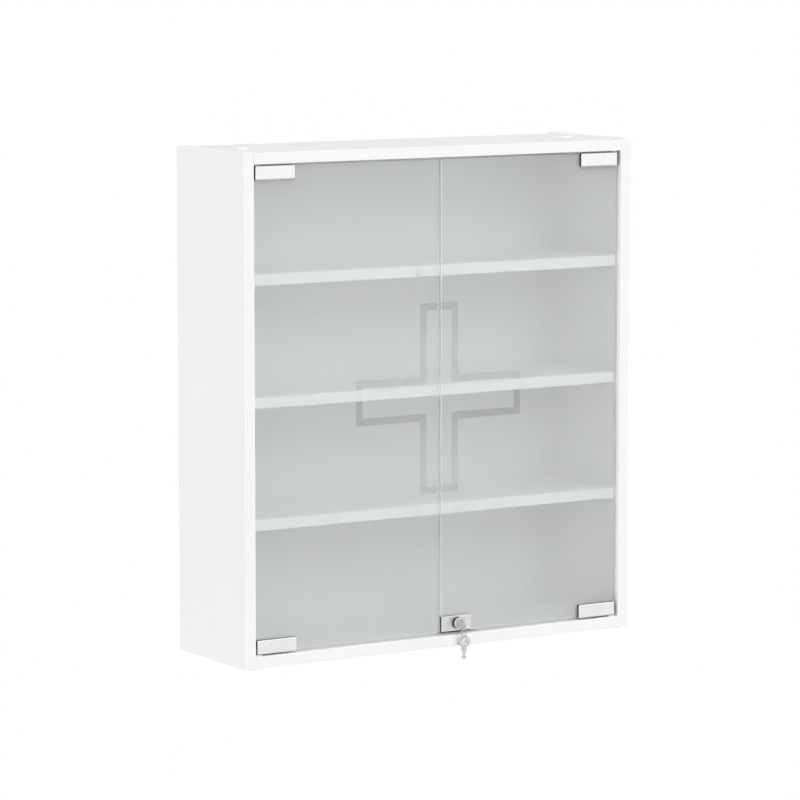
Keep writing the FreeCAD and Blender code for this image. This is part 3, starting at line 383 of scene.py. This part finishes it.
# %% Metals inside
finishes["hinge_metal"] = metal(
    "cast_zinc", dull=(0.5, 0.5, 0.505), bright=(0.6, 0.6, 0.6),
    smooth=0.3, rough=0.45, marks=1200, strength=0.15)
finishes["cam_zinc"] = metal(
    "rough_zinc", dull=(0.45, 0.45, 0.455), bright=(0.55, 0.55, 0.55),
    smooth=0.4, rough=0.55, marks=900, strength=0.25)
finishes["screw_steel"] = metal(
    "zinc_steel", dull=(0.55, 0.55, 0.54), bright=(0.68, 0.67, 0.65), smooth=0.25, rough=0.4, marks=1500)
finishes["shelf_pin_steel"] = metal(
    "nickel_pins", dull=(0.6, 0.59, 0.56), bright=(0.7, 0.69, 0.66), smooth=0.2, rough=0.32, marks=800)
finishes["strike_steel"] = metal(
    "strike_steel", dull=(0.58, 0.58, 0.575), bright=(0.68, 0.68, 0.675),
    smooth=0.25, rough=0.4, marks=900, stretch=(0.05, 1, 1))
finishes["lock_cam_steel"] = metal(
    "cam_steel", dull=(0.5, 0.5, 0.49), bright=(0.62, 0.61, 0.59), smooth=0.28, rough=0.42, marks=1100)

# %% [markdown]
# ## Plastics and rubber
# Small white covers hide the fittings on top, nylon bushes carry the pivots, black pads keep metal off
# the glass and milky dots cushion the doors. Moulded pieces have a fine grain from their mould, and
# rubber is dull and dusty, so again one function takes the differences.

# %% Plastics and rubber
def moulded(name, dark, light, smooth, rough, grain, strength=0.15, **sockets):
    material, tree, shader = new_finish(name, **sockets)
    skin = speckle(tree, grain)
    drift = scaled(tree, speckle(tree, scale=60, detail=3), low=0, high=1)
    give(tree, shader, Base_Color=blend_colours(tree, drift, dark, light))
    give(tree, shader, Roughness=scaled(tree, skin, smooth, rough))
    give(tree, shader, Normal=relief(tree, skin, strength, depth=0.05 * MM))
    print("made", name)
    return material


finishes["white_cover"] = moulded(
    "white_covers", dark=(0.93, 0.93, 0.925), light=(0.95, 0.95, 0.945), smooth=0.24, rough=0.34, grain=1400)
finishes["bush_nylon"] = moulded(
    "nylon_bushes", dark=(0.74, 0.73, 0.68), light=(0.8, 0.79, 0.75), smooth=0.42, rough=0.55, grain=1200)
finishes["hinge_pad"] = moulded(
    "clamp_pads", dark=(0.018, 0.018, 0.019), light=(0.035, 0.035, 0.036),
    smooth=0.6, rough=0.8, grain=1500, strength=0.3)
finishes["lock_gasket"] = moulded(
    "lock_gaskets", dark=(0.02, 0.02, 0.021), light=(0.04, 0.04, 0.04),
    smooth=0.6, rough=0.8, grain=1500, strength=0.3)
finishes["milky_bumper"] = moulded(
    "milky_bumpers", dark=(0.86, 0.865, 0.862), light=(0.89, 0.895, 0.89),
    smooth=0.16, rough=0.3, grain=700, strength=0.05, IOR=1.42, Transmission_Weight=0.12)

# %% [markdown]
# ## Beech
# Beech dowels hold the boards together. Their fibres run along the dowel, which lies across the cabinet,
# so the same noise as before is stretched along X until its grains become long threads.

# %% Beech
beech, tree, shader = new_finish("beech_dowels", Specular_IOR_Level=0.3)
fibres = speckle(tree, scale=900, stretch=(0.06, 1, 1), detail=4)
threads = scaled(tree, fibres, low=0, high=1)
give(tree, shader, Base_Color=blend_colours(tree, threads, (0.5, 0.33, 0.19), (0.66, 0.47, 0.3)))
give(tree, shader, Roughness=scaled(tree, fibres, low=0.6, high=0.75))
give(tree, shader, Normal=relief(tree, fibres, strength=0.2, depth=0.1 * MM))
finishes["dowel_wood"] = beech
print("made", beech.name)

# %% [markdown]
# ## Dress the solids
# The record lists for each solid the finish that it takes, so one loop dresses them all. Their shapes
# stay as they came, with smooth normals on every rounding.

# %% Dress the solids
for entry in frame["record"]["subparts"]:
    solid = frame["nodes"][entry["node"]]
    solid.material_slots[0].material = finishes[entry["material_slot"]]

# %% [markdown]
# ## Working by hand
# The keys and their ring are small but sit where everyone looks, so they are modelled anew. By hand one
# would select a few points, extrude, move and scale. The helpers below do just that: start a primitive
# alone, pick its points by their place, and apply a modifier. A finished piece keeps its object at the
# origin.

# %% Helpers for modelling
def start(add, **settings):
    bpy.ops.object.select_all(action="DESELECT")
    add(**settings)
    bpy.ops.object.transform_apply(location=True, rotation=True, scale=True)
    return bpy.context.object


def pick(piece, test):
    bpy.ops.object.mode_set(mode="EDIT")
    bpy.ops.mesh.select_mode(type="VERT")
    bpy.ops.mesh.select_all(action="DESELECT")
    bpy.ops.object.mode_set(mode="OBJECT")
    for point in piece.data.vertices:
        point.select = test(point.co)
    bpy.ops.object.mode_set(mode="EDIT")


def apply_modifier(piece, kind, **settings):
    modifier = piece.modifiers.new(kind.lower(), kind)
    for name, value in settings.items():
        setattr(modifier, name, value)
    bpy.context.view_layer.objects.active = piece
    bpy.ops.object.modifier_apply(modifier=modifier.name)


def cut_away(piece, cutter):
    apply_modifier(piece, "BOOLEAN", operation="DIFFERENCE", solver="EXACT", object=cutter)
    bpy.data.objects.remove(cutter, do_unlink=True)


UPRIGHT = (math.pi / 2, 0, 0)
print("tools ready")

# %% [markdown]
# ## The key
# A flat cabinet key: a wide bow with a hole for the ring, a blade that steps in to a narrow neck, and a
# round tip. It could be drawn as a curve, but extruding it from a disc keeps its edges evenly divided.
# The bow comes first: a disc below the ring's hole, whose two halves are moved apart to make it wide.

# %% Bow of the key
bow_radius = 7.6 * MM
bow_drop = 3.4 * MM
bow_widening = 1.3 * MM
beside_middle = 0.01 * MM
key = start(bpy.ops.mesh.primitive_circle_add, vertices=72, radius=bow_radius, fill_type="NGON",
            location=(0, 0, -bow_drop), rotation=UPRIGHT)
for side in (-1, 1):
    pick(key, lambda at: at.x * side > beside_middle)
    bpy.ops.transform.translate(value=(side * bow_widening, 0, 0))
    bpy.ops.object.mode_set(mode="OBJECT")
print("bow:", len(key.data.vertices), "points")

# %% [markdown]
# The bow's lower edge is then drawn out row by row, each row scaled to the blade's width there. A row is
# given by its distance below the hole and half its width, in millimetres. Shoulder and neck need a few
# chosen rows, and the tip follows a circle.

# %% Blade of the key
root_drop = 9 * MM
root_half = 4.5 * MM
tip_drop = 24.8
tip_radius = 3
tip_angles = [math.radians(angle) for angle in (45.6, 60, 80, 100, 120, 140, 160, 174)]
blade_rows = [(11.5, 3.95), (12.3, 3.6), (13.6, 3.4), (17.2, 3.12), (17.55, 2.7), (17.7, 2.1), (18.3, 1.9),
              (22.3, 1.9)]
for angle in tip_angles:
    blade_rows.append((tip_drop - tip_radius * math.cos(angle), tip_radius * math.sin(angle)))

pick(key, lambda at: at.z < -root_drop and abs(at.x) < root_half)
width = max(abs(point.co.x) for point in key.data.vertices if point.select)
level = bow_drop + bow_radius
for drop, half in blade_rows:
    bpy.ops.mesh.extrude_edges_move(TRANSFORM_OT_translate={"value": (0, 0, level - drop * MM)})
    level = drop * MM
    bpy.ops.transform.resize(value=(half * MM / width, 1, 0), center_override=(0, 0, -level))
    width = half * MM
bpy.ops.object.mode_set(mode="OBJECT")
print("key outline:", len(key.data.vertices), "points")

# %% [markdown]
# The sheet gets its thickness, then the hole, a shallow pressed field in each face of the bow and a
# groove along each face of the blade are cut away.

# %% Thickness and cuts
key_thickness = 2 * MM
hole_radius = 2.5 * MM
field_radius, field_drop, field_depth = 4.6 * MM, 4.6 * MM, 0.2 * MM
groove_width, groove_length, groove_drop, groove_aside = 0.9 * MM, 13 * MM, 18.4 * MM, 0.5 * MM
key_face = key_thickness / 2
field_cutter = 1 * MM
field_place = key_face - field_depth + field_cutter / 2
apply_modifier(key, "SOLIDIFY", thickness=key_thickness, offset=0)
cut_away(key, start(bpy.ops.mesh.primitive_cylinder_add, vertices=48, radius=hole_radius,
                    depth=3 * key_thickness, rotation=UPRIGHT))
for face in (-1, 1):
    field = start(bpy.ops.mesh.primitive_cylinder_add, vertices=64, radius=field_radius, depth=field_cutter,
                  location=(0, face * field_place, -field_drop), rotation=UPRIGHT)
    cut_away(key, field)
    groove = start(bpy.ops.mesh.primitive_cube_add, size=1,
                   location=(face * groove_aside, face * key_face, -groove_drop),
                   scale=(groove_width, groove_width, groove_length))
    cut_away(key, groove)
print("key with cuts:", len(key.data.polygons), "faces")

# %% [markdown]
# A narrow bevel takes the sharpness off every edge, as tumbling does to real keys, and lets the edges
# catch the light. Shading smooth by angle keeps the flat faces flat.

# %% Bevel and finish of the key
apply_modifier(key, "BEVEL", width=0.16 * MM, segments=2, limit_method="ANGLE", angle_limit=math.radians(40))
bpy.ops.object.select_all(action="DESELECT")
key.select_set(True)
bpy.context.view_layer.objects.active = key
bpy.ops.object.shade_smooth_by_angle(angle=math.radians(35))
key.data.materials.clear()
key.data.materials.append(finishes["key_nickel"])
print("key:", len(key.data.polygons), "faces")

# %% [markdown]
# The same key is used twice. One is pushed into the lock with its bow upright, the other hangs from the
# ring. Each copy has a mesh of its own, turned and moved into place, and the transform is then applied.
# The places come from the solids that the two keys stand for.

# %% Two keys in place
def copy_of(piece, name):
    twin = piece.copy()
    twin.data = piece.data.copy()
    twin.name = twin.data.name = name
    bpy.context.scene.collection.objects.link(twin)
    return twin


def settle(piece, turn, place):
    piece.rotation_euler = turn
    piece.location = place
    bpy.ops.object.select_all(action="DESELECT")
    piece.select_set(True)
    bpy.context.view_layer.objects.active = piece
    bpy.ops.object.transform_apply(location=True, rotation=True, scale=True)


ring_turn = math.radians(37)
hole_from_end = bow_radius - bow_drop
key_y = key_low.y + hole_from_end
spare_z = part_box("spare_key")[1].z - hole_from_end
spare = copy_of(key, "hanging_key")
settle(spare, (0, 0, ring_turn - math.pi / 2), (lock_x, key_y, spare_z))
key.name = key.data.name = "key_in_lock"
settle(key, (math.pi / 2, -math.pi / 2, 0), (lock_x, key_y, lock_z))
for piece, body, node in ((key, "lock_key", "key"), (spare, "hanging_key", "spare_key")):
    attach(piece, body)
    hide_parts(node)

# %% [markdown]
# ## The split ring
# A key ring is two turns of flattened spring wire that lie against each other, so that a key can be
# threaded on. A torus would hide that. Here a small flattened loop is swept round twice by a Screw
# modifier, climbing one wire's thickness on each turn, and the two open ends are then closed.

# %% The split ring
ring_radius = 8.5 * MM
wire_radius = 0.65 * MM
wire_flatness = 0.44
ring_turns = 2
ring_climb = 1.2 * MM
ring = start(bpy.ops.mesh.primitive_circle_add, vertices=14, radius=wire_radius, fill_type="NOTHING",
             location=(ring_radius, 0, 0))
bpy.ops.object.mode_set(mode="EDIT")
bpy.ops.mesh.select_all(action="SELECT")
bpy.ops.transform.resize(value=(1, wire_flatness, 1), center_override=(ring_radius, 0, 0))
bpy.ops.object.mode_set(mode="OBJECT")
apply_modifier(ring, "SCREW", axis="Y", angle=ring_turns * 2 * math.pi, screw_offset=ring_climb,
               steps=144, render_steps=144, use_merge_vertices=False)
bpy.ops.object.mode_set(mode="EDIT")
bpy.ops.mesh.select_all(action="SELECT")
bpy.ops.mesh.fill_holes(sides=0)
bpy.ops.mesh.select_all(action="SELECT")
bpy.ops.mesh.normals_make_consistent(inside=False)
bpy.ops.transform.translate(value=(0, -ring_climb / 2, 0))
bpy.ops.object.mode_set(mode="OBJECT")
bpy.ops.object.shade_smooth_by_angle(angle=math.radians(40))
print("ring:", len(ring.data.polygons), "faces")

# %% [markdown]
# The ring hangs in the hole of the key in the lock, turned about the upright through that hole. Its
# middle is the middle of the solid ring that it stands for.

# %% Ring in place
ring_low, ring_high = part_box("key_ring")
ring.name = ring.data.name = "split_ring"
settle(ring, (0, 0, ring_turn), (lock_x, key_y, (ring_low.z + ring_high.z) / 2))
ring.data.materials.append(finishes["ring_steel"])
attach(ring, "ring")
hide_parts("key_ring")
print(ring.name, "in place")

# %% [markdown]
# ## Light
# The room is a white studio with soft light from all round. A bright world alone would do for the boards,
# but plated metal only looks like metal when it has something dark to mirror. So the world has three
# looks: soft light for surfaces, plain white for the camera, and for reflections a white room with a dark
# screen on the left and a shade below.

# %% World
soft_light = 0.435
world = bpy.data.worlds.new("white_studio")
world.use_nodes = True
bpy.context.scene.world = world
tree = world.node_tree
tree.nodes.clear()
path = add_node(tree, "LightPath").outputs
outward = add_node(tree, "TexCoord").outputs["Generated"]
direction = add_node(tree, "SeparateXYZ", {"Vector": outward}).outputs
beside_screen = scaled(tree, direction["X"], low=0.0, high=1.0, start=-0.55, stop=-0.3)
before_screen = scaled(tree, direction["Y"], low=1.0, high=0.0, start=0.0, stop=0.35)
screen = calculate(tree, "MAXIMUM", beside_screen, before_screen)
shade = scaled(tree, direction["Z"], low=0.8, high=1.0, start=-0.25, stop=-0.05)
deep_shade = scaled(tree, direction["Z"], low=0.4, high=1.0, start=-0.85, stop=-0.25)
mirrored = calculate(tree, "MULTIPLY", screen, calculate(tree, "MULTIPLY", shade, deep_shade))
seen = calculate(tree, "MAXIMUM", path["Is Camera Ray"], path["Is Transmission Ray"])
white_or_mirrored = calculate(tree, "MAXIMUM", seen, mirrored)
shown = calculate(tree, "MAXIMUM", seen, path["Is Glossy Ray"])
looks = {0: shown, 2: soft_light, 3: white_or_mirrored}
brightness = add_node(tree, "Mix", looks, data_type="FLOAT").outputs[0]
background = add_node(tree, "Background", {"Color": (1, 1, 1, 1), "Strength": brightness})
output = add_node(tree, "OutputWorld")
tree.links.new(background.outputs[0], output.inputs["Surface"])
print("made", world.name)

# %% [markdown]
# Five square lamps shape the soft light: a large one high in front, a weak one low in front, two far out
# at the sides whose light grazes the doors, and a faint one above. A single lamp would leave one side
# grey. No reflection shows them, so the plated pieces mirror only the room.

# %% Lamps, each with its place, width and watts
lamps = {
    "front_lamp": ((0.35, -5.6, 4.0), 5.0, 277),
    "low_lamp": ((0.35, -6.2, -1.6), 4.0, 32),
    "left_lamp": ((-5.92, -0.7, 0.32), 1.8, 172),
    "right_lamp": ((5.92, -0.7, 0.32), 1.8, 150),
    "top_lamp": ((0.0, -1.5, 6.2), 4.0, 30),
}
middle = mathutils.Vector((0, -0.09, -0.28))
for name, (lamp_place, lamp_width, watts) in lamps.items():
    bpy.ops.object.select_all(action="DESELECT")
    bpy.ops.object.light_add(type="AREA", location=lamp_place)
    lamp = bpy.context.object
    lamp.name = name
    lamp.data.size = lamp_width
    lamp.data.energy = watts
    lamp.visible_glossy = False
    lamp.rotation_euler = (middle - lamp.location).to_track_quat("-Z", "Y").to_euler()
    print(name, watts, "W")

# %% [markdown]
# ## Floor
# A pale round floor lies well below the hanging cabinet and takes its soft shadow. Towards its rim it
# turns clear, so that it melts into the white room with no horizon line.

# %% Floor
floor_radius = 1.2
floor_level = -1.1
floor = start(bpy.ops.mesh.primitive_circle_add, vertices=96, radius=floor_radius, fill_type="NGON",
              location=(0, middle.y, floor_level))
floor.name = "studio_floor"
floor_finish = bpy.data.materials.new("pale_floor")
floor_finish.use_nodes = True
tree = floor_finish.node_tree
tree.nodes.clear()
place = place_on(tree)
from_middle = calculate(tree, "SUBTRACT", place["Y"], middle.y)
flat = add_node(tree, "CombineXYZ", {"X": place["X"], "Y": from_middle}).outputs[0]
away = add_node(tree, "VectorMath", {0: flat}, operation="LENGTH").outputs["Value"]
fade = scaled(tree, away, low=0, high=1, start=0.5, stop=1.05)
paint = add_node(tree, "BsdfDiffuse", {"Color": (0.86, 0.86, 0.86, 1)})
clear = add_node(tree, "BsdfTransparent")
mixed = add_node(tree, "MixShader", {0: fade, 1: paint.outputs[0], 2: clear.outputs[0]})
output = add_node(tree, "OutputMaterial")
tree.links.new(mixed.outputs[0], output.inputs["Surface"])
floor.data.materials.append(floor_finish)
print("floor ready")
